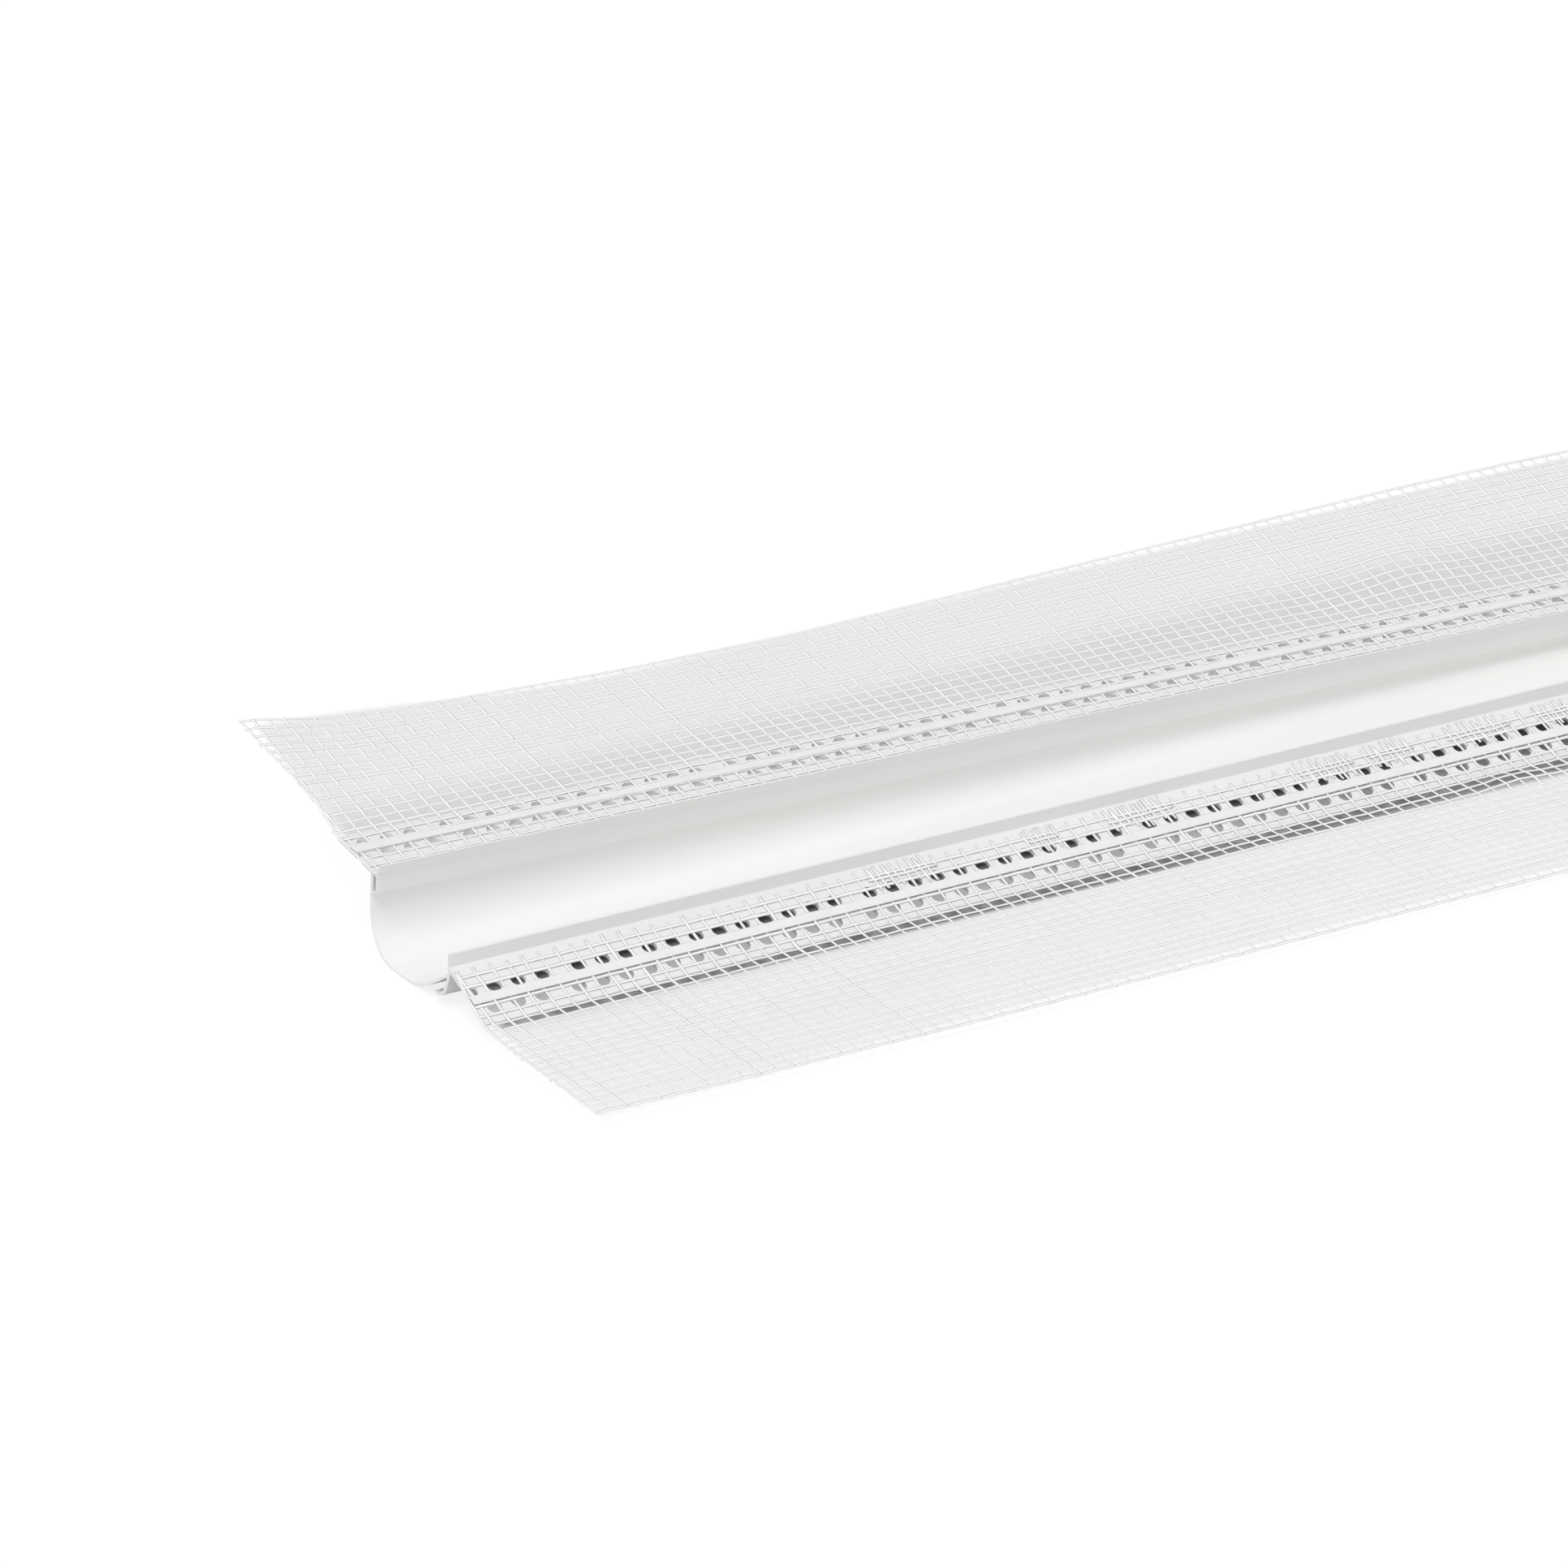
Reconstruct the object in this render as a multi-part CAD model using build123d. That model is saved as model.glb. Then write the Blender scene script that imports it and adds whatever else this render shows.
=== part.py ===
from build123d import *
from math import atan2, ceil, cos, radians, sin, tan
import os

# Expansion joint bead, lying as it rests: X runs along the bead, the joint opens upwards.
# The bead stands on the loop's underside and on the front mesh strip's outer edge. The loop is upright at the
# near end and flatter further along, where the back rail lies lower and further out.
# A place on a rail is given by (out, up): out from the joint along the flange's top, up square to it.

# Driving dimensions, millimetres and degrees
bead_length = 2000.0

flange_width = 23.3
flange_thickness = 1.2
lip_height = 3.6
lip_thickness = 0.7
lip_lean = 22.0

hole_diameter = 4.4
hole_pitch = 7.5
holes_per_group = 12
group_gap = 11.6
first_gap = 29.95
inner_row_offset = 10.5
outer_row_offset = 17.8

front_strip_start = 2.4
front_strip_end = 85.7
back_strip_start = 1.0
back_strip_end = 80.8
strip_thickness = 0.4
wing_facet = 40.0

band_start = 12.9
band_width = 3.1
band_thickness = 0.2

front_root = (-1.0, 14.5)
front_slope = -23.0
front_leg_offset = 0.8
front_leg_thickness = 1.2
front_leg_height = 6.0
toe_reach = 4.1
toe_drop = 5.7
toe_tip_thickness = 0.4
front_wing_stations = (0.0, 50.0, 130.0, 300.0, 450.0, 720.0, 1000.0, 1290.0, 1560.0, 1800.0, 2000.0)
front_wing_slopes = (-1.3, -1.7, -2.6, -3.1, -3.7, -4.95, -4.6, -4.95, -4.7, -4.95, -4.8)

back_root = (39.7, 26.1)
back_slope = 7.0
back_settling = (450.0, 9.6, -14.3)
chamber_width = 3.1
chamber_height = 4.7
chamber_wall = 0.75
chamber_foot_rise = 1.5
back_wing_stations = (
    0.0, 26.0, 50.0, 124.0, 185.0, 280.0, 410.0, 450.0, 720.0, 1000.0, 1290.0, 1560.0, 1800.0, 2000.0,
)
back_wing_slopes = (15.9, 10.7, 8.6, 6.6, 6.6, 10.6, 15.8, 16.4, 11.2, 13.0, 10.0, 12.1, 9.8, 12.6)

membrane_thickness = 0.8
membrane_seam_depth = 2.6
loop_front_turn = 17.0
loop_front_radius = 28.0
loop_back_radius = 12.5
loop_back_radius_settled = 3.2
loop_seam_radius = 10.0

hole_overshoot = 1.0


class Rail:
    """Where one rail lies: its root line's place and the way its flange runs out from the joint."""

    def __init__(self, root, slope, side):
        self.y, self.z = root
        self.slope = slope
        self.side = side
        self.out = Vector(0, side * cos(radians(slope)), sin(radians(slope)))
        self.up = Vector(0, -side * sin(radians(slope)), cos(radians(slope)))

    def at(self, out, up, x=0.0):
        return Vector(x, self.y, self.z) + self.out * out + self.up * up

    def plane(self, x=0.0):
        return Plane(origin=(x, self.y, self.z), x_dir=self.out, z_dir=(self.side, 0, 0))

    def moved(self, dy, dz):
        return Rail((self.y + dy, self.z + dz), self.slope, self.side)


front = Rail(front_root, front_slope, -1)
back = Rail(back_root, back_slope, 1)
settle_length, settle_y, settle_z = back_settling
back_settled = back.moved(settle_y, settle_z)


def along_front(face):
    """A front section run straight along the whole bead."""
    return Solid.extrude(face, Vector(bead_length, 0, 0))


def along_back(section):
    """A back section run down its settling stretch and then straight to the end."""
    sinking = Solid.extrude(section(back, 0.0), Vector(settle_length, settle_y, settle_z))
    straight = Solid.extrude(section(back_settled, settle_length), Vector(bead_length - settle_length, 0, 0))
    return sinking.fuse(straight).clean()


def flange_and_lip():
    """The flange plate with the plaster stop on its joint edge, which leans over the joint."""
    lean = lip_height * tan(radians(lip_lean))
    lip = [(0, 0), (-lean, lip_height), (lip_thickness - lean, lip_height), (lip_thickness, 0)]
    flange = [(0, -flange_thickness), (flange_width, -flange_thickness), (flange_width, 0), (0, 0)]
    return make_face(Polyline(*flange, close=True)) + make_face(Polyline(*lip, close=True))


def front_section():
    """Front rail: flange, lip and a leg whose toe curls under the loop."""
    inside = front_leg_offset
    outside = inside + front_leg_thickness
    bend = -flange_thickness - front_leg_height
    tip = (inside - toe_reach, bend - toe_drop)
    tip_under = (tip[0], tip[1] - toe_tip_thickness)
    down = Line((inside, 0), (inside, bend))
    toe_top = TangentArc((inside, bend), tip, tangent=(0, -1))
    toe_end = Line(tip, tip_under)
    toe_under = TangentArc((outside, bend), tip_under, tangent=(0, -1))
    up = Line((outside, bend), (outside, 0))
    leg = make_face([down, toe_top, toe_end, toe_under, up, Line((outside, 0), (inside, 0))])
    return flange_and_lip() + leg


def back_section():
    """Back rail: flange, lip and a hollow chamber that closes over the loop's seam."""
    foot = -flange_thickness - chamber_height
    body = [(0, 0), (0, foot), (chamber_width, foot - chamber_foot_rise), (chamber_width, 0)]
    fall = chamber_foot_rise / chamber_width * chamber_wall
    hollow = [
        (chamber_wall, -flange_thickness),
        (chamber_wall, foot - fall + chamber_wall),
        (chamber_width - chamber_wall, foot - chamber_foot_rise + fall + chamber_wall),
        (chamber_width - chamber_wall, -flange_thickness),
    ]
    chamber = make_face(Polyline(*body, close=True)) - make_face(Polyline(*hollow, close=True))
    return flange_and_lip() + chamber


def hole_places():
    """Each hole's distance along the bead and out from the joint, in groups with a gap between them."""
    group_length = (holes_per_group - 1) * hole_pitch + group_gap
    places = []
    for offset, stagger in ((inner_row_offset, 0.0), (outer_row_offset, -hole_pitch / 2)):
        for group in range(-1, ceil((bead_length - first_gap) / group_length)):
            first = first_gap + group * group_length + group_gap / 2 + stagger
            for hole in range(holes_per_group):
                x = first + hole * hole_pitch
                if -hole_diameter / 2 < x < bead_length + hole_diameter / 2:
                    places.append((x, offset))
    return places


def back_at(x):
    """The back rail's place at a distance along the bead."""
    share = min(max(x / settle_length, 0.0), 1.0)
    return back.moved(settle_y * share, settle_z * share)


def perforated(solid, rail_at):
    """A rail with its two rows of round holes punched square to the flange."""
    depth = flange_thickness + 2 * hole_overshoot
    punches = []
    for x, offset in hole_places():
        rail = rail_at(x)
        start = Plane(origin=rail.at(offset, -flange_thickness - hole_overshoot, x), z_dir=rail.up)
        punches.append(Solid.make_cylinder(hole_diameter / 2, depth, start))
    return solid.cut(*punches)


def placed(face, rail, x=0.0):
    """A section drawn in (out, up) set on its rail."""
    return (rail.plane(x) * face).faces()[0]


def rectangle(out, up, width, height):
    return make_face(Polyline((out, up), (out + width, up), (out + width, up + height), (out, up + height), close=True))


def wing_slope(stations, slopes, x):
    """A free wing's slope at a distance along the bead, even between its stations."""
    places = list(zip(stations, slopes))
    for (start, slope), (end, next_slope) in zip(places, places[1:]):
        if x < end:
            return slope + (next_slope - slope) * (x - start) / (end - start)
    return slopes[-1]


def strip_corners(rail, x, start, end, slope):
    """A mesh strip across the bead at one place: its underside and its top, each from the joint out."""
    wing = Vector(0, rail.side * cos(radians(slope)), sin(radians(slope))) * (end - flange_width)
    wing_up = Vector(0, -rail.side * sin(radians(slope)), cos(radians(slope))) * strip_thickness
    edge = rail.at(flange_width, 0, x)
    mitre = tan(radians(slope - rail.slope) / 2) * strip_thickness
    edge_top = rail.at(flange_width - mitre, strip_thickness, x)
    under = (rail.at(start, 0, x), edge, edge + wing)
    return under, (rail.at(start, strip_thickness, x), edge_top, edge + wing + wing_up)


def facet(*corners):
    return Face(Wire.make_polygon(corners))


def mesh_strip(rail_at, start, end, stations, slopes):
    """Flat on its flange, then free: the wing turns a little along the bead, so each stretch of it has two facets."""
    ends = sorted({x for x in stations + (settle_length,) if x < bead_length} | {bead_length})
    places = [0.0]
    for near, far in zip(ends, ends[1:]):
        stretches = ceil((far - near) / wing_facet)
        places += [near + (far - near) * (stretch + 1) / stretches for stretch in range(stretches)]
    rows = [strip_corners(rail_at(x), x, start, end, wing_slope(stations, slopes, x)) for x in places]
    faces = [facet(*under, *reversed(top)) for under, top in (rows[0], rows[-1])]
    for (under, top), (next_under, next_top) in zip(rows, rows[1:]):
        for here, there in ((under, next_under), (top, next_top)):
            faces.append(facet(here[0], here[1], there[1], there[0]))
            faces.append(facet(here[1], here[2], there[2]))
            faces.append(facet(here[1], there[2], there[1]))
        faces.append(facet(under[0], top[0], next_top[0], next_under[0]))
        faces.append(facet(under[2], top[2], next_top[2]))
        faces.append(facet(under[2], next_top[2], next_under[2]))
    return Solid(Shell(faces))


def loop_section(rail, back_radius, x=0.0):
    """The membrane across the bead: down from the front leg, along the floor and up to the back rail."""
    thick = membrane_thickness
    seam = front.at(front_leg_offset, -flange_thickness - membrane_seam_depth)
    fall = atan2(seam.Z, loop_front_turn - seam.Y)
    seam_top = seam + front.up * (thick / cos(fall - radians(front_slope)))
    lean = tan(radians(back_slope) / 2)
    outer = chamber_width + thick
    low = -flange_thickness - chamber_height - chamber_foot_rise - loop_seam_radius * lean
    wall = rail.at(outer, low)
    radii = (loop_front_radius, back_radius, loop_seam_radius)
    under = FilletPolyline(
        seam, (0, loop_front_turn, 0), (0, wall.Y, 0), wall, rail.at(outer, -flange_thickness),
        radius=radii,
    )
    top = FilletPolyline(
        seam_top, (0, loop_front_turn + thick * tan(fall / 2), thick), (0, wall.Y - thick, thick),
        rail.at(chamber_width, low + thick * lean), rail.at(chamber_width, -flange_thickness),
        radius=[radius - thick for radius in radii],
    )
    ends = [Line(under @ 0, top @ 0), Line(under @ 1, top @ 1)]
    return Pos(x, 0, 0) * make_face([under, top] + ends).faces()[0]


def membrane():
    near_face = loop_section(back, loop_back_radius)
    settled_face = loop_section(back_settled, loop_back_radius_settled, settle_length)
    sinking = Solid.make_loft([near_face.outer_wire(), settled_face.outer_wire()], ruled=True)
    straight = Solid.extrude(settled_face, Vector(bead_length - settle_length, 0, 0))
    return sinking.fuse(straight)


front_rail = along_front(placed(front_section(), front))
back_rail = along_back(lambda rail, x: placed(back_section(), rail, x))
band = rectangle(band_start, strip_thickness, band_width, band_thickness)
pieces = {
    "front_rail": perforated(front_rail, lambda x: front),
    "back_rail": perforated(back_rail, back_at),
    "loop_membrane": membrane(),
    "front_mesh_strip": mesh_strip(
        lambda x: front, front_strip_start, front_strip_end, front_wing_stations, front_wing_slopes
    ),
    "back_mesh_strip": mesh_strip(
        back_at, back_strip_start, back_strip_end, back_wing_stations, back_wing_slopes
    ),
    "front_cover_band": along_front(placed(band, front)),
    "back_cover_band": along_back(lambda rail, x: placed(band, rail, x)),
}

# The origin is on the floor under the middle of the bead's box
box = Compound(list(pieces.values())).bounding_box()
to_origin = Pos(-box.center().X, -box.center().Y, -box.min.Z)

os.makedirs("parts", exist_ok=True)
for name, piece in pieces.items():
    export_step(to_origin * piece, os.path.join("parts", name + ".step"))
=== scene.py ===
"""An expansion joint bead: two white perforated plastic rails, a soft loop between them and a woven mesh
strip on each side.

The bead lies along X on the floor. Distances in the shape functions are millimetres, and meshes are in metres.
"""

import math

import bpy
import numpy as np
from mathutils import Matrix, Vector


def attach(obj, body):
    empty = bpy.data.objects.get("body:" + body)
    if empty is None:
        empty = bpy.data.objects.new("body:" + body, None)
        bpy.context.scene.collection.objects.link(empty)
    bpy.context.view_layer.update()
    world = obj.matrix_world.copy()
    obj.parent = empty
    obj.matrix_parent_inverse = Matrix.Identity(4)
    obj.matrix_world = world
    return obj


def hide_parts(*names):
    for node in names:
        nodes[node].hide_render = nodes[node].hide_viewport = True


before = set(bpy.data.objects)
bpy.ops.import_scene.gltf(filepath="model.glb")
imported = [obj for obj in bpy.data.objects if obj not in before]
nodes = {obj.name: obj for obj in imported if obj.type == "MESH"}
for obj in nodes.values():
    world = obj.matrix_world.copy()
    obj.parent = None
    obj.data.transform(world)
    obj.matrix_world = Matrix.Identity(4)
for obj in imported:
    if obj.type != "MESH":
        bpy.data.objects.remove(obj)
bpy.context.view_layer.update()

# ----------------------------------------------------------------------------------------------------------
# The camera looks along the bead from its near cut end, from a standing height and through a long lens, so
# that the first half metre fills the picture and the rest runs out of it to the right.

focal_length_px = 9563.8
photo_width_px = 1932.0
camera_data = bpy.data.cameras.new("camera")
camera_data.sensor_width = 36.0
camera_data.lens = focal_length_px / photo_width_px * camera_data.sensor_width
camera_data.clip_start = 0.05
camera_data.clip_end = 60.0
camera = bpy.data.objects.new("camera", camera_data)
camera.location = (-1.9111, -1.7337, 0.9132)
aim = Vector((-0.8396, 0.0657, 0.0))
camera.rotation_euler = (aim - camera.location).to_track_quat("-Z", "Y").to_euler()
bpy.context.scene.collection.objects.link(camera)
bpy.context.scene.camera = camera

# ----------------------------------------------------------------------------------------------------------
# The two rails are extruded in hard white PVC and punched afterwards. Their faces keep the faint draw lines
# of the die along their length, a satin skin, and slightly greyer patches where they were handled.


def plain_material(name, colour, roughness):
    """A new material on one shader, with its steady colour and roughness on the shader's own sockets."""
    material = bpy.data.materials.new(name)
    material.use_nodes = True
    shader = material.node_tree.nodes["Principled BSDF"]
    shader.inputs["Base Color"].default_value = (*colour, 1.0)
    shader.inputs["Roughness"].default_value = roughness
    return material, material.node_tree, shader


def stretched_noise(tree, places, stretch, scale, detail):
    """Noise read from places, drawn out or packed along each axis by stretch."""
    mapping = tree.nodes.new("ShaderNodeMapping")
    mapping.inputs["Scale"].default_value = stretch
    noise = tree.nodes.new("ShaderNodeTexNoise")
    noise.inputs["Scale"].default_value = scale
    noise.inputs["Detail"].default_value = detail
    tree.links.new(places, mapping.inputs["Vector"])
    tree.links.new(mapping.outputs["Vector"], noise.inputs["Vector"])
    return noise.outputs["Fac"]


def shade_between(tree, value, low_colour, high_colour, low, high):
    """A colour that goes from one shade to another as the value goes from low to high."""
    ramp = tree.nodes.new("ShaderNodeValToRGB")
    ramp.color_ramp.elements[0].position = low
    ramp.color_ramp.elements[0].color = (*low_colour, 1.0)
    ramp.color_ramp.elements[1].position = high
    ramp.color_ramp.elements[1].color = (*high_colour, 1.0)
    tree.links.new(value, ramp.inputs["Fac"])
    return ramp.outputs["Color"]


def relief(tree, shader, value, depth, strength):
    """Bump on the shader from a value."""
    bump = tree.nodes.new("ShaderNodeBump")
    bump.inputs["Distance"].default_value = depth
    bump.inputs["Strength"].default_value = strength
    tree.links.new(value, bump.inputs["Height"])
    tree.links.new(bump.outputs["Normal"], shader.inputs["Normal"])


hard_white, tree, shader = plain_material("hard_white_pvc", (0.82, 0.82, 0.81), 0.38)
places = tree.nodes.new("ShaderNodeTexCoord").outputs["Object"]
draw_lines = stretched_noise(tree, places, (0.02, 1.0, 1.0), 1400.0, 2.0)
handling = stretched_noise(tree, places, (0.4, 1.0, 1.0), 22.0, 4.0)
shade = shade_between(tree, handling, (0.805, 0.808, 0.806), (0.835, 0.833, 0.825), 0.35, 0.65)
tree.links.new(shade, shader.inputs["Base Color"])
relief(tree, shader, draw_lines, 0.00006, 0.35)
for name in ("front_rail", "back_rail"):
    nodes[name].data.materials.clear()
    nodes[name].data.materials.append(hard_white)

# ----------------------------------------------------------------------------------------------------------
# The loop is soft white PVC, welded to both rails along its edges. It is duller than the rails and a little
# warmer, and it ripples faintly along its length where it was bent into the loop.

soft_white, tree, shader = plain_material("soft_white_pvc", (0.9, 0.9, 0.885), 0.52)
places = tree.nodes.new("ShaderNodeTexCoord").outputs["Object"]
ripple = stretched_noise(tree, places, (0.35, 1.0, 1.0), 60.0, 2.0)
bloom = stretched_noise(tree, places, (0.3, 1.0, 1.0), 14.0, 3.0)
shade = shade_between(tree, bloom, (0.885, 0.886, 0.878), (0.915, 0.912, 0.9), 0.35, 0.65)
tree.links.new(shade, shader.inputs["Base Color"])
relief(tree, shader, ripple, 0.0006, 0.25)
nodes["loop_membrane"].data.materials.clear()
nodes["loop_membrane"].data.materials.append(soft_white)

# ----------------------------------------------------------------------------------------------------------
# A narrow plain band of the same hard PVC is pressed hot over the mesh between the two rows of holes. It
# takes the print of the yarns under it as a faint ladder of low ridges.

band_white, tree, shader = plain_material("cover_band_pvc", (0.825, 0.825, 0.815), 0.42)
places = tree.nodes.new("ShaderNodeTexCoord").outputs["Object"]
print_of_yarns = stretched_noise(tree, places, (1.0, 0.3, 0.3), 210.0, 1.0)
shade = shade_between(tree, print_of_yarns, (0.81, 0.812, 0.808), (0.84, 0.84, 0.83), 0.35, 0.65)
tree.links.new(shade, shader.inputs["Base Color"])
relief(tree, shader, print_of_yarns, 0.00025, 0.3)
for name in ("front_cover_band", "back_cover_band"):
    nodes[name].data.materials.clear()
    nodes[name].data.materials.append(band_white)

# ----------------------------------------------------------------------------------------------------------
# The mesh strips are woven from flat coated glass fibre yarns, about 5 mm apart along the bead and 4 mm
# across it. The coating is white and dull, and sticks the yarns together where they cross. Each strip is
# welded to its flange.

metres_per_mm = 0.001
bead_length = 2000.0
flange_width = 23.3
middle_y = -22.1233
cross_yarn_count = 392
cross_yarn_pitch = 5.12
first_cross_yarn = -3.42
long_yarn_width, long_yarn_swell = 1.0925, 25.0
cross_yarn_width, cross_yarn_swell = 0.92, 12.0
row_drift, row_drift_length = 0.2, 70.0
column_drift, column_drift_length = 0.22, 30.0
yarn_thickness = 0.2
bed_height = 0.12
weave_height = 0.07
cut_clearance = 0.3
fray = 0.25
finger_unevenness = 0.3
least_finger_out = 0.8
last_yarn_overhang = 0.45
near_inset, far_inset = 0.45, 0.8

yarn_section = np.array([(-0.5, 0.4), (-0.32, 0.0), (0.32, 0.0), (0.5, 0.4), (0.0, 1.0)])


def wander(random, yarns, along, reach, shortest):
    """A slow sideways drift for each yarn: three sine waves of random length and phase, added up."""
    waves = 3
    total = np.zeros((yarns, len(along)))
    for _ in range(waves):
        length = shortest * (1 + 3 * random.random((yarns, 1)))
        total += np.sin(2 * np.pi * (along[None, :] / length + random.random((yarns, 1))))
    return reach * total / waves


def ribbons(centres, sideways, upwards, widths):
    """Closed flat yarns. Each yarn is a row of centres, and at every centre stands the same five-sided section,
    its width along sideways and its thickness along upwards. Returns corners, side faces, end faces and the UV
    of the side faces."""
    yarns, points, _ = centres.shape
    sides = len(yarn_section)
    reach = yarn_section[:, 0][None, None, :, None] * widths[:, :, None, None] * sideways[:, :, None, :]
    rise = yarn_section[:, 1][None, None, :, None] * yarn_thickness * upwards[:, :, None, :]
    corners = (centres[:, :, None, :] + reach + rise).reshape(-1, 3)
    ring = np.arange(yarns * points * sides).reshape(yarns, points, sides)
    a, b = ring[:, :-1], ring[:, 1:]
    quads = np.stack([a, np.roll(a, -1, 2), np.roll(b, -1, 2), b], -1).reshape(-1, 4)
    caps = np.concatenate([ring[:, 0, ::-1].reshape(-1, sides), ring[:, -1].reshape(-1, sides)])
    step = np.linalg.norm(np.diff(centres, axis=1), axis=2)
    own_start = 37.0 * np.arange(yarns)[:, None]
    along = np.concatenate([np.zeros((yarns, 1)), np.cumsum(step, 1)], 1) + own_start
    start = np.broadcast_to(along[:, :-1, None], a.shape).reshape(-1)
    stop = np.broadcast_to(along[:, 1:, None], a.shape).reshape(-1)
    turn = np.broadcast_to(np.arange(sides)[None, None, :], a.shape).reshape(-1)
    uv = np.stack([start, turn, start, turn + 1, stop, turn + 1, stop, turn], -1).reshape(-1, 2)
    return corners, quads, caps, uv


def yarn_mesh(name, bundles):
    """One mesh of several bundles of ribbons, in metres, with a UV map that runs along each yarn."""
    corners, faces, uvs, count = [], [], [], 0
    for bundle_corners, quads, caps, uv in bundles:
        corners.append(bundle_corners * metres_per_mm)
        faces += (quads + count).tolist() + (caps + count).tolist()
        uvs += [uv, np.zeros((caps.size, 2))]
        count += len(bundle_corners)
    mesh = bpy.data.meshes.new(name)
    mesh.from_pydata(np.concatenate(corners).tolist(), [], faces)
    mesh.uv_layers.new(name="along_yarn").data.foreach_set("uv", np.concatenate(uvs).astype(np.float32).ravel())
    mesh.polygons.foreach_set("use_smooth", np.ones(len(mesh.polygons), bool))
    mesh.update()
    piece = bpy.data.objects.new(name, mesh)
    bpy.context.scene.collection.objects.link(piece)
    return piece


def smooth(value):
    """0 below 0, 1 above 1, and an even S between them."""
    value = np.clip(value, 0.0, 1.0)
    return value * value * (3 - 2 * value)


def hump(x, out, middle_x, half_length, near_out, far_out, height):
    """A low buckle in a free wing: a bell along the bead, between two distances out from the joint."""
    edge_share = 0.35
    edge = edge_share * (far_out - near_out)
    across = smooth((out - near_out) / edge) * smooth((far_out - out) / edge)
    return height * np.exp(-(((x - middle_x) / half_length) ** 2)) * across


def hung_from(strip, out, x):
    """Where a strip lies. Its slope across the bead is a function of the distance out from the joint and of the
    distance along. The strip's line is that slope added up from the joint outwards, set on the root, with its
    buckles on top. Returns the places, and the directions out and up there."""
    side = strip["side"]
    steps = 96
    share = (np.arange(steps) + 0.5) / steps
    slope = np.radians(strip["slope_at"](out[..., None] * share, x[..., None]))
    run = out * np.cos(slope).mean(-1)
    rise = out * np.sin(slope).mean(-1) + strip["buckles_at"](out, x)
    root_y, root_z = strip["root_at"](x)
    places = np.stack([x - bead_length / 2, root_y + side * run + middle_y, root_z + rise], -1)
    here = np.radians(strip["slope_at"](out, x))
    outwards = np.stack([np.zeros_like(here), side * np.cos(here), np.sin(here)], -1)
    upwards = np.stack([np.zeros_like(here), -side * np.sin(here), np.cos(here)], -1)
    return places, outwards, upwards


def laid_yarns(strip, out, x, lift, widths, runs_along):
    """Ribbons through rows of points on a strip, given as distances out and along, and lifted off the strip."""
    places, outwards, upwards = hung_from(strip, out, x)
    places = places + upwards * lift[..., None]
    along = np.broadcast_to(np.array([1.0, 0.0, 0.0]), places.shape)
    sideways = -strip["side"] * outwards if runs_along else strip["side"] * along
    return ribbons(places, sideways, upwards, widths)


def uneven_widths(random, width, yarns, points, shortest):
    """Each yarn's own width, a little off the given one, swelling and thinning along it."""
    spread, thinnest, widest, swell = 0.11, 0.75, 1.3, 0.09
    own = np.clip(1 + spread * random.standard_normal((yarns, 1)), thinnest, widest)
    return width * own * (1 + wander(random, yarns, points, swell, shortest))


def woven_strip(name, seed, strip):
    """One strip's yarns. They share one net of crossings, row by row out from the joint and 392 along the bead,
    and at each crossing one yarn passes over and the other under, by turns. The cross yarns end in fingers of
    uneven length near the lip, and at the last long yarn on the outside. The first one lies on the cut end."""
    random = np.random.default_rng(seed)
    rows = np.arange(strip["long_yarns"])
    columns = np.arange(cross_yarn_count)
    row_out = strip["first_out"] + rows * strip["spacing"]
    column_x = first_cross_yarn + columns * cross_yarn_pitch
    out = row_out[None, :] + wander(random, len(rows), column_x, row_drift, row_drift_length).T
    x = column_x[:, None] + strip["lean_at"](column_x)[:, None] * (out - flange_width)
    x = x + wander(random, len(columns), row_out, column_drift, column_drift_length)
    over = weave_height * (-1.0) ** (columns[:, None] + rows[None, :])

    near = strip["near_end_at"](out[0]) + fray * random.standard_normal(len(rows))
    far = np.full(len(rows), bead_length - cut_clearance)
    crossings_x = np.clip(x, near + cut_clearance, far - cut_clearance)
    long_x = np.concatenate([near[None, :], crossings_x, far[None, :]]).T
    long_out = np.concatenate([out[:1], out, out[-1:]]).T
    long_lift = bed_height + np.concatenate([over[:1], over, over[-1:]]).T
    widths = uneven_widths(random, long_yarn_width, len(rows), long_x[0], long_yarn_swell)
    lengthwise = laid_yarns(strip, long_out, long_x, long_lift, widths, True)

    finger = out[:, :1] - strip["finger"] + finger_unevenness * random.standard_normal((len(columns), 1))
    finger = np.maximum(finger, least_finger_out)
    cross_out = np.concatenate([finger, out, out[:, -1:] + last_yarn_overhang], 1)
    near_cut = strip["near_end_at"](cross_out[0]) + near_inset
    far_cut = bead_length - far_inset
    cross_x = np.clip(np.concatenate([x[:, :1], x, x[:, -1:]], 1), near_cut, far_cut)
    cross_lift = bed_height - np.concatenate([over[:, :1], over, over[:, -1:]], 1)
    widths = uneven_widths(random, cross_yarn_width, len(columns), cross_out[0], cross_yarn_swell)
    crosswise = laid_yarns(strip, cross_out, cross_x, cross_lift, widths, False)
    return yarn_mesh(name, [lengthwise, crosswise] + strip["scraps"](random, strip))


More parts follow.
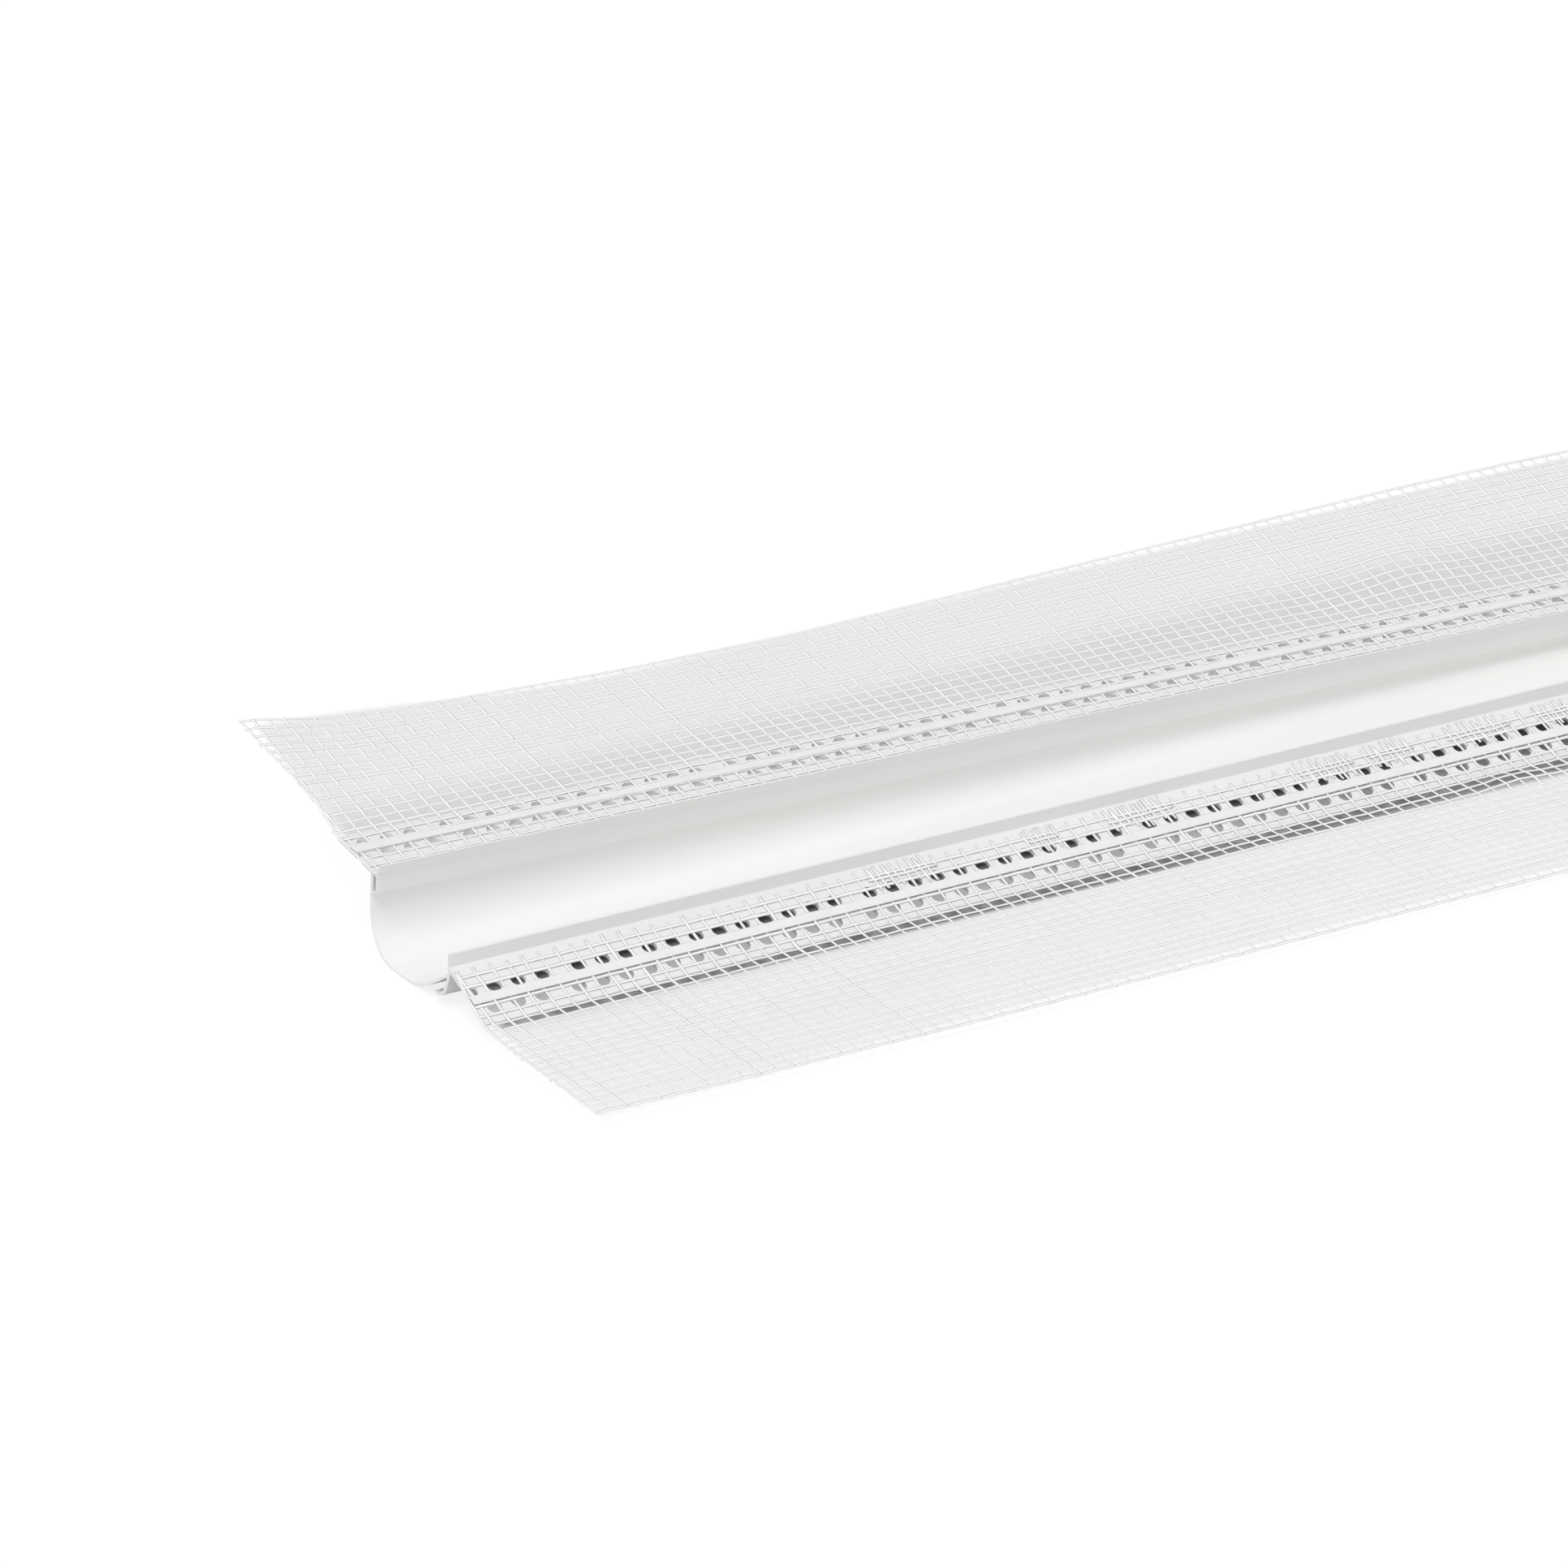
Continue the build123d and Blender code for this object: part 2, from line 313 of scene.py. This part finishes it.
coated_yarn, tree, shader = plain_material("coated_glass_yarn", (0.94, 0.94, 0.93), 0.55)
yarn_uv = tree.nodes.new("ShaderNodeUVMap")
yarn_uv.uv_map = "along_yarn"
filaments = stretched_noise(tree, yarn_uv.outputs["UV"], (0.35, 2.2, 1.0), 2.0, 3.0)
places = tree.nodes.new("ShaderNodeTexCoord").outputs["Object"]
coating = stretched_noise(tree, places, (1.0, 1.0, 1.0), 45.0, 3.0)
shade = shade_between(tree, coating, (0.935, 0.937, 0.93), (0.965, 0.963, 0.955), 0.35, 0.65)
tree.links.new(shade, shader.inputs["Base Color"])
relief(tree, shader, filaments, 0.00006, 0.4)

# The front strip is welded down as far as the flange's edge. From there it runs out almost level, a few
# millimetres over the floor at the near end, and comes down to it further along. Over the flange's inner
# part lie short scraps of a second layer, left where the strip was pieced.

front_root_y, front_root_z = -1.0, 14.5
front_flange_slope = -23.0
front_bend_start, front_bend_length = flange_width - 0.2, 1.6
front_wing_stations = np.array([0.0, 50.0, 130.0, 300.0, 450.0, 720.0, 1000.0, 1290.0, 1560.0, 1800.0, 2000.0])
front_wing_slopes = np.array([-0.7, -1.7, -2.6, -3.1, -3.7, -4.95, -4.6, -4.95, -4.7, -4.95, -4.8])


def front_root_at(x):
    """The front rail runs straight, so its root is the same all along."""
    return np.full_like(x, front_root_y), np.full_like(x, front_root_z)


def front_slope_at(out, x):
    """The flange's slope as far as its edge, then the wing's own slope at that distance along the bead."""
    wing = np.interp(x, front_wing_stations, front_wing_slopes)
    past_edge = smooth((out - front_bend_start) / front_bend_length)
    return front_flange_slope + (wing - front_flange_slope) * past_edge


def front_buckles_at(out, x):
    """The knee is pushed up at one place. The wing lifts a little before it, and at three places beyond."""
    lift = hump(x, out, 340.0, 10.0, flange_width, 36.0, 1.1) + hump(x, out, 251.0, 22.0, 24.0, 50.0, 0.5)
    for middle, height in ((655.0, 0.9), (1120.0, 1.1), (1690.0, 0.8)):
        lift = lift + hump(x, out, middle, 14.0, flange_width, 40.0, height)
    return lift


def pieced_scraps(random, strip):
    """Scraps of a second layer: eight where the photo has them and the rest at random places. Each scrap is a
    row of cross yarns at half the pitch and one long yarn over them, from the lip to the first row of holes."""
    seen = np.array([(143.0, 19.0), (190.0, 8.0), (219.0, 12.0), (229.0, 9.0), (288.0, 16.0), (311.0, 13.0),
                     (342.0, 19.0), (370.0, 11.0)])
    most_others, last_seen, end_margin = 30, 430.0, 30.0
    starts = last_seen + np.cumsum(random.uniform(30.0, 75.0, most_others))
    others = np.stack([starts, random.uniform(8.0, 20.0, most_others)], 1)
    scraps = np.concatenate([seen, others[starts < bead_length - end_margin]])
    stub_x = np.concatenate([np.arange(middle - length / 2, middle + length / 2, cross_yarn_pitch / 2)
                             for middle, length in scraps])
    stubs = len(stub_x)
    tip_out, root_out, long_out, least_out = 1.9, 11.2, 7.1, 1.2
    lean, leans_about = 0.1, 7.0
    stub_lift, long_lift = 0.2, 0.3
    share = np.linspace(0.0, 1.0, 5)
    tips = tip_out + 0.4 * random.standard_normal((stubs, 1))
    roots = root_out + 0.8 * random.standard_normal((stubs, 1))
    out = np.clip(tips, least_out, None) + (roots - tips) * share
    x = stub_x[:, None] + 0.3 * random.standard_normal((stubs, 1)) + lean * (out - leans_about)
    widths = uneven_widths(random, cross_yarn_width, stubs, out[0], cross_yarn_swell)
    across = laid_yarns(strip, out, x, np.full(out.shape, stub_lift), widths, False)
    x = scraps[:, :1] + scraps[:, 1:] * np.linspace(-0.6, 0.6, 8)
    out = long_out + 0.3 * random.standard_normal((len(scraps), 1))
    out = out + wander(random, len(scraps), x[0], 0.3, 9.0)
    widths = uneven_widths(random, cross_yarn_width, len(scraps), x[0], cross_yarn_swell)
    along = laid_yarns(strip, out, x, np.full(out.shape, long_lift), widths, True)
    return [across, along]


front_strip = {
    "side": -1, "root_at": front_root_at, "slope_at": front_slope_at, "buckles_at": front_buckles_at,
    "long_yarns": 22, "first_out": 5.4, "spacing": 3.8, "finger": 2.7,
    "lean_at": lambda x: np.interp(x, [0.0, 250.0, 420.0], [0.03, 0.1, 0.1]),
    "near_end_at": lambda out: np.interp(
        out, [5.0, 12.0, 23.0, 35.0, 86.0], [0.1, -0.8, -1.2, -2.0, -0.8]),
    "scraps": pieced_scraps,
}
front_mesh = woven_strip("front_mesh", 11, front_strip)
front_mesh.data.materials.append(coated_yarn)
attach(front_mesh, "root")
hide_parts("front_mesh_strip")

# The back strip is welded to the higher flange, closer to the lip, and then stands free over the floor. Its
# near corner curls up, and its outer edge keeps about one height while the rail sinks.

back_root_y, back_root_z = 39.7, 26.1
settling_length, settling_out, settling_down = 450.0, 9.6, 14.3
back_flange_slope = 7.0
back_bend_start, back_bend_length = flange_width - 0.5, 3.0
back_wing_stations = np.array([0.0, 26.0, 50.0, 124.0, 185.0, 280.0, 410.0,
                               450.0, 720.0, 1000.0, 1290.0, 1560.0, 1800.0, 2000.0])
back_wing_slopes = np.array([15.9, 10.7, 8.6, 6.6, 6.6, 10.6, 15.8,
                             16.4, 11.2, 13.0, 10.0, 12.1, 9.8, 12.6])


def back_root_at(x):
    """The back rail goes outwards and sinks over its first stretch, and then runs straight."""
    share = np.clip(x / settling_length, 0.0, 1.0)
    return back_root_y + settling_out * share, back_root_z - settling_down * share


def back_slope_at(out, x):
    """The flange's slope as far as its edge, then the wing's own slope at that distance along the bead."""
    wing = np.interp(x, back_wing_stations, back_wing_slopes)
    past_edge = smooth((out - back_bend_start) / back_bend_length)
    return back_flange_slope + (wing - back_flange_slope) * past_edge


def back_buckles_at(out, x):
    """Where the rail settles, the wing bulges between its welded edge and its middle, and again further on."""
    lift = hump(x, out, 383.0, 15.0, flange_width, 66.0, 1.7)
    lift = lift - hump(x, out, 345.0, 14.0, flange_width, 60.0, 0.7)
    for middle, height in ((612.0, 1.2), (905.0, -0.8), (1400.0, 1.3), (1745.0, 0.9)):
        lift = lift + hump(x, out, middle, 18.0, flange_width, 62.0, height)
    return lift


back_strip = {
    "side": 1, "root_at": back_root_at, "slope_at": back_slope_at, "buckles_at": back_buckles_at,
    "long_yarns": 21, "first_out": 1.3, "spacing": 3.945, "finger": 0.4,
    "lean_at": lambda x: np.interp(x, [120.0, 280.0, 370.0], [0.0, 0.06, 0.0]),
    "near_end_at": lambda out: np.interp(out, [23.0, 35.0, 50.0, 81.0], [-0.8, 0.8, 0.2, -2.9]),
    "scraps": lambda random, strip: [],
}
back_mesh = woven_strip("back_mesh", 23, back_strip)
back_mesh.data.materials.append(coated_yarn)
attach(back_mesh, "root")
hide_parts("back_mesh_strip")

# ----------------------------------------------------------------------------------------------------------
# The studio: a pale floor, an even white surround, and one broad distant lamp high over the near end.
# A glow on the floor that only the camera sees paints light: it whitens the floor past the bead's outline and
# lightens the shade under the front wing.

floor_mesh = bpy.data.meshes.new("floor")
floor_reach = 14.0
floor_mesh.from_pydata([(-floor_reach, -floor_reach, 0.0), (floor_reach, -floor_reach, 0.0),
                        (floor_reach, floor_reach, 0.0), (-floor_reach, floor_reach, 0.0)], [], [(0, 1, 2, 3)])
floor = bpy.data.objects.new("floor", floor_mesh)
bpy.context.scene.collection.objects.link(floor)
painted_glow_floor, tree, shader = plain_material("floor_with_painted_glow", (0.81, 0.81, 0.81), 0.9)
shader.inputs["Specular IOR Level"].default_value = 0.0


def combined(tree, operation, *values):
    """A math node on up to three values; a number is set on its socket and a socket is linked."""
    node = tree.nodes.new("ShaderNodeMath")
    node.operation = operation
    for socket, value in zip(node.inputs, values):
        if isinstance(value, float):
            socket.default_value = value
        else:
            tree.links.new(value, socket)
    return node.outputs["Value"]


def eased(tree, value, start, end):
    """0 while the value is short of start, 1 past end, and an even S between them."""
    node = tree.nodes.new("ShaderNodeMapRange")
    node.interpolation_type = "SMOOTHSTEP"
    node.inputs["From Min"].default_value = start
    node.inputs["From Max"].default_value = end
    tree.links.new(value, node.inputs["Value"])
    return node.outputs["Result"]


# The picture's ground is burnt out to white right up to the bead's outline, and pale grey where it shows
# through the mesh. So the camera sees the floor white past the near end and past each wing's edge, at the
# places where its line of sight over that edge meets the floor. The numbers below are those places, in
# metres from the bead's middle.

# The white past these places is painted light, a glow that only the camera sees. Inside them the floor keeps
# its lamp-lit grey and its real shadow, so the grey zone's edge along the outline is a painted shadow edge.
near_end = (-0.996, -1.001)
near_end_shift, near_end_lean, least_shift = 0.013, 0.18, 0.003
front_edge = (-0.096, -0.104)
back_edge = (0.16, 0.167)
curled_corner, corner_shift = (-0.84, -0.96), 0.02

where = tree.nodes.new("ShaderNodeSeparateXYZ")
tree.links.new(tree.nodes.new("ShaderNodeTexCoord").outputs["Object"], where.inputs["Vector"])
along, across = where.outputs["X"], where.outputs["Y"]
shift = combined(tree, "MULTIPLY_ADD", across, near_end_lean, near_end_shift)
shift = combined(tree, "MAXIMUM", shift, least_shift)
past_near_end = eased(tree, combined(tree, "SUBTRACT", along, shift), *near_end)
past_front = eased(tree, across, *front_edge)
corner = eased(tree, along, *curled_corner)
past_back = eased(tree, combined(tree, "MULTIPLY_ADD", corner, -corner_shift, across), *back_edge)
outline = combined(tree, "MAXIMUM", past_near_end, combined(tree, "MAXIMUM", past_front, past_back))

# Past the right edge of the camera's frame the grey floor widens into a soft pool around the far part of the
# bead.
# Outside the pool the glow paints the floor white; inside it the floor keeps its lamp-lit grey and real shadow,
# so the pool's shape is a painted shadow around the bead.

picture_edge, picture_left = -0.35, 0.1
far_part = eased(tree, along, picture_edge, picture_left)
pool_middle, pool_half_width, pool_fade = 0.03, 0.14, 0.35
aside = combined(tree, "ABSOLUTE", combined(tree, "SUBTRACT", across, pool_middle), 0.0)
aside = combined(tree, "SUBTRACT", aside, pool_half_width)
half_length = bead_length / 2 * metres_per_mm
past_far_end = combined(tree, "SUBTRACT", along, half_length)
pool = eased(tree, combined(tree, "MAXIMUM", past_far_end, aside), 0.0, pool_fade)
outside = combined(tree, "MULTIPLY_ADD", far_part, combined(tree, "SUBTRACT", pool, outline), outline)

# The glow also paints light on the floor under the front wing: it lightens the wing's shadow there until the
# floor reads almost as pale as the yarns, and leaves one or two dark rows of cells along the flange's edge. At
# the near end it also paints light into the shade under the outer row of holes.

painted_glow_share, faint_share = 0.75, 0.33
holes_begin, holes_stop, holes_fade = (-0.013, -0.02), (-0.03, -0.034), (-0.62, -0.78)
dark_row_edge, dark_row_growth = (-0.0575, -0.0605), 0.02
under_holes = combined(tree, "SUBTRACT", eased(tree, across, *holes_begin), eased(tree, across, *holes_stop))
under_holes = combined(tree, "MULTIPLY", under_holes, eased(tree, along, *holes_fade))
past_knee = eased(tree, combined(tree, "MULTIPLY_ADD", along, dark_row_growth, across), *dark_row_edge)
under_front = combined(tree, "MULTIPLY", under_holes, faint_share)
under_front = combined(tree, "MULTIPLY_ADD", past_knee, painted_glow_share, under_front)
under_front = combined(tree, "MULTIPLY", under_front, combined(tree, "SUBTRACT", 1.0, far_part))

# The camera sees the lamp-lit floor mixed with this glow, which is painted light and no lamp; the glow's
# strength is grey_level under the front wing and rises by step_to_white past the outline.
grey_level, step_to_white = 0.94, 0.16
share = combined(tree, "MAXIMUM", combined(tree, "MULTIPLY", outside, painted_glow_share), under_front)
seen = tree.nodes.new("ShaderNodeLightPath")
glow = tree.nodes.new("ShaderNodeEmission")
strength = combined(tree, "MULTIPLY_ADD", outside, step_to_white, grey_level)
tree.links.new(strength, glow.inputs["Strength"])
both = tree.nodes.new("ShaderNodeMixShader")
tree.links.new(combined(tree, "MULTIPLY", share, seen.outputs["Is Camera Ray"]), both.inputs["Fac"])
tree.links.new(shader.outputs["BSDF"], both.inputs[1])
tree.links.new(glow.outputs["Emission"], both.inputs[2])
tree.links.new(both.outputs["Shader"], tree.nodes["Material Output"].inputs["Surface"])
floor_mesh.materials.append(painted_glow_floor)

light_given, light_seen = 0.66, 1.0
world = bpy.data.worlds.new("surround")
world.use_nodes = True
bpy.context.scene.world = world
tree = world.node_tree
surround = tree.nodes["Background"]
seen = tree.nodes.new("ShaderNodeLightPath")
level = tree.nodes.new("ShaderNodeMapRange")
level.inputs["To Min"].default_value = light_given
level.inputs["To Max"].default_value = light_seen
tree.links.new(seen.outputs["Is Camera Ray"], level.inputs["Value"])
tree.links.new(level.outputs["Result"], surround.inputs["Strength"])
surround.inputs["Color"].default_value = (1.0, 1.0, 1.0, 1.0)

lamp_data = bpy.data.lights.new("distant_softbox", "SUN")
lamp_data.energy = 1.3
lamp_data.angle = math.radians(32.0)
lamp = bpy.data.objects.new("distant_softbox", lamp_data)
lamp.location = (-2.6, -1.1, 3.0)
light_travel = Vector((0.38, 0.33, -0.865))
lamp.rotation_euler = light_travel.to_track_quat("-Z", "Y").to_euler()
bpy.context.scene.collection.objects.link(lamp)

bpy.context.scene.view_settings.view_transform = "Standard"
